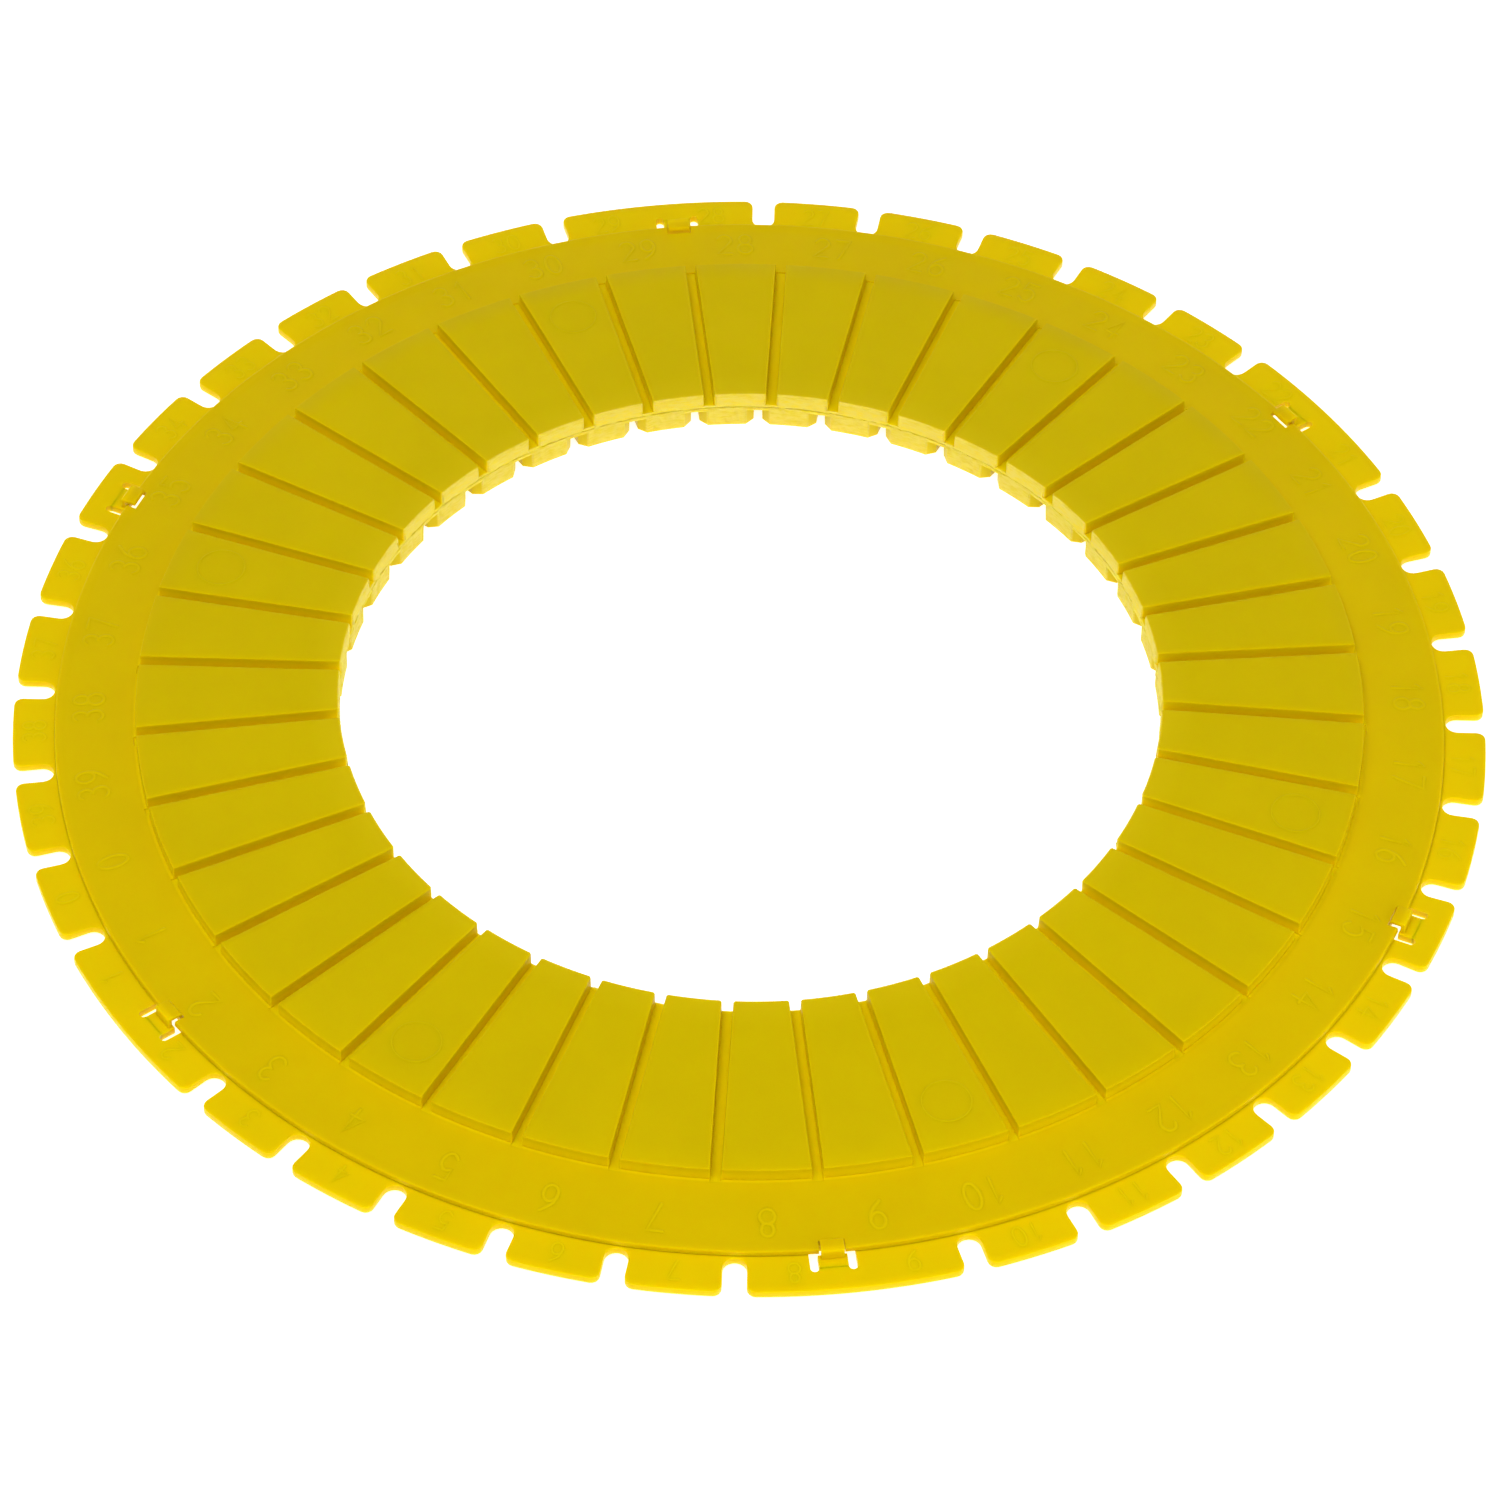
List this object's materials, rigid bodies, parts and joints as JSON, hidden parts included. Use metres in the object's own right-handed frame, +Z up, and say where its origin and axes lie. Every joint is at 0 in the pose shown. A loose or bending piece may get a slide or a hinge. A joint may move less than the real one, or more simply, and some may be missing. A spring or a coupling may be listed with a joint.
{
  "type": "index ring",
  "caption": "Flat round ring of translucent yellow plastic: a notched, numbered lower flange with sprung clips, and an upper half with radial wedge pads round a wide open centre.",
  "frame": {"origin": "on the ring's axis, level with the feet of the lower pads that the ring lies on", "axes": "+Z up along the ring's axis, +X through the middle of a flange notch"},
  "size_m": [0.3198, 0.3198, 0.0097],
  "materials": {
    "lower_plastic": "satin, slightly translucent",
    "upper_plastic": "satin, slightly translucent",
    "clip_plastic": "satin, slightly translucent"
  },
  "bodies": {
    "lower_half": {"lower_ring": "lower_plastic"},
    "upper_half": {"upper_ring": "upper_plastic"},
    "clip_1": {"clip_1": "clip_plastic"},
    "clip_2": {"clip_2": "clip_plastic"},
    "clip_3": {"clip_3": "clip_plastic"},
    "clip_4": {"clip_4": "clip_plastic"},
    "clip_5": {"clip_5": "clip_plastic"},
    "clip_6": {"clip_6": "clip_plastic"}
  },
  "joints": [
    {"name": "upper_half_lift", "type": "slide", "parent": "lower_half", "child": "upper_half", "axis": [0, 0, 1], "range_m": [0, 0.03]},
    {"name": "clip_1_flex", "type": "hinge", "parent": "lower_half", "child": "clip_1", "pos_m": [0.12226, 0.09381, 0.00175], "axis": [-0.6088, 0.7934, 0], "range_deg": [0, 8], "stiffness_Nm_per_rad": 0.02},
    {"name": "clip_2_flex", "type": "hinge", "parent": "lower_half", "child": "clip_2", "pos_m": [-0.02011, 0.15278, 0.00175], "axis": [-0.9914, -0.1305, 0], "range_deg": [0, 8], "stiffness_Nm_per_rad": 0.02},
    {"name": "clip_3_flex", "type": "hinge", "parent": "lower_half", "child": "clip_3", "pos_m": [-0.14237, 0.05897, 0.00175], "axis": [-0.3827, -0.9239, 0], "range_deg": [0, 8], "stiffness_Nm_per_rad": 0.02},
    {"name": "clip_4_flex", "type": "hinge", "parent": "lower_half", "child": "clip_4", "pos_m": [-0.12226, -0.09381, 0.00175], "axis": [0.6088, -0.7934, 0], "range_deg": [0, 8], "stiffness_Nm_per_rad": 0.02},
    {"name": "clip_5_flex", "type": "hinge", "parent": "lower_half", "child": "clip_5", "pos_m": [0.02011, -0.15278, 0.00175], "axis": [0.9914, 0.1305, 0], "range_deg": [0, 8], "stiffness_Nm_per_rad": 0.02},
    {"name": "clip_6_flex", "type": "hinge", "parent": "lower_half", "child": "clip_6", "pos_m": [0.14237, -0.05897, 0.00175], "axis": [0.3827, 0.9239, 0], "range_deg": [0, 8], "stiffness_Nm_per_rad": 0.02}
  ]
}
